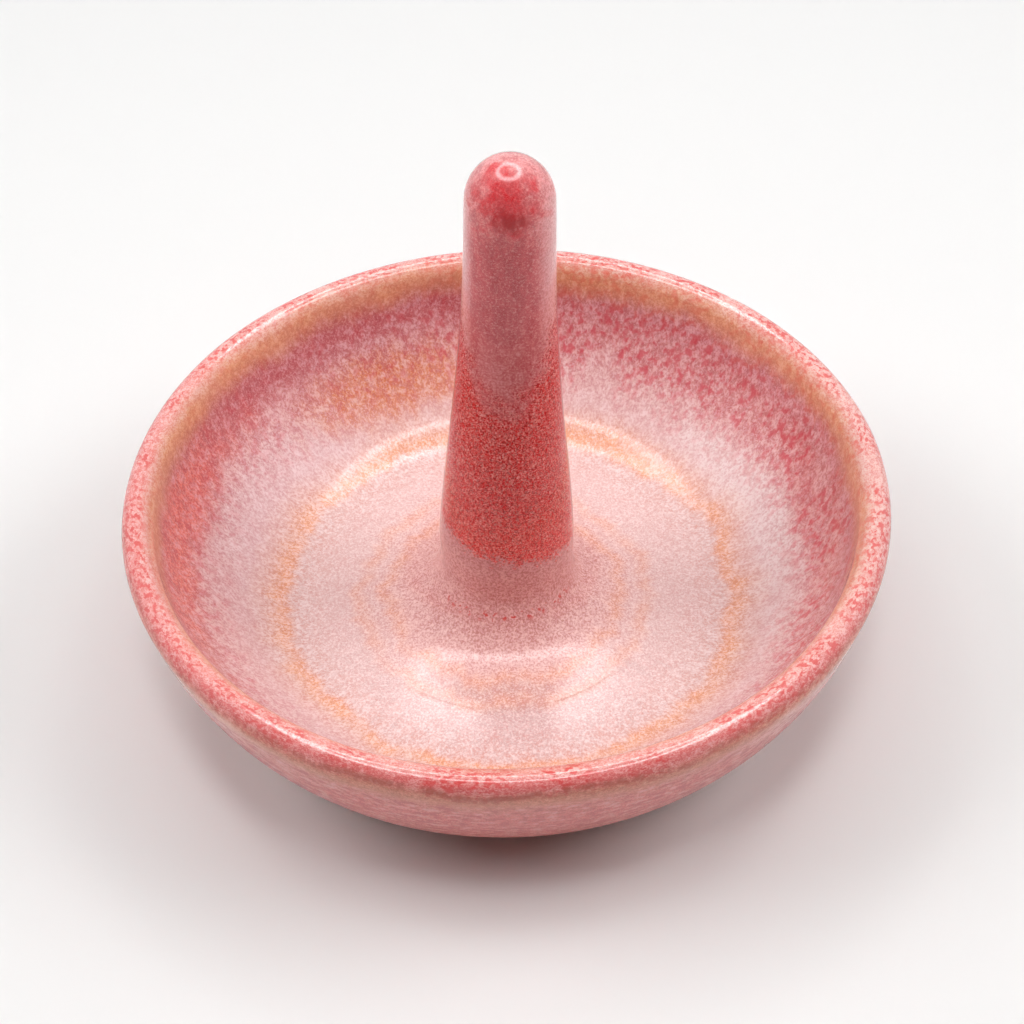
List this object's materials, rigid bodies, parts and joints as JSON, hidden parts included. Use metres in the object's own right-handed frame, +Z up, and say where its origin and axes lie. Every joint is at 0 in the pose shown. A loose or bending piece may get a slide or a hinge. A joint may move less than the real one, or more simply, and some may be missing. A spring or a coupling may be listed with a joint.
{
  "type": "ring dish",
  "caption": "Round shallow glazed stoneware dish with a rolled rim, a foot ring and an upright round-tipped post in the middle for finger rings.",
  "frame": {"origin": "on the table, under the middle of the dish", "axes": "+Z up along the dish's axis; +Y away from the viewer of the picture; +X to the viewer's right, the way the post leans by 1.7 degrees"},
  "size_m": [0.104, 0.104, 0.0817],
  "materials": {
    "pink_glaze": "glossy mottled pink glaze with crimson specks, breaking to orange on edges",
    "crimson_glaze": "glossy crimson glaze with fine white specks",
    "mauve_glaze": "glossy mauve-pink glaze with fine specks",
    "bare_stoneware": "unglazed, matt buff stoneware"
  },
  "bodies": {
    "root": {"dish": "pink_glaze", "foot_ring": "bare_stoneware", "ring_post": "crimson_glaze", "post_collar": "mauve_glaze"}
  },
  "joints": []
}
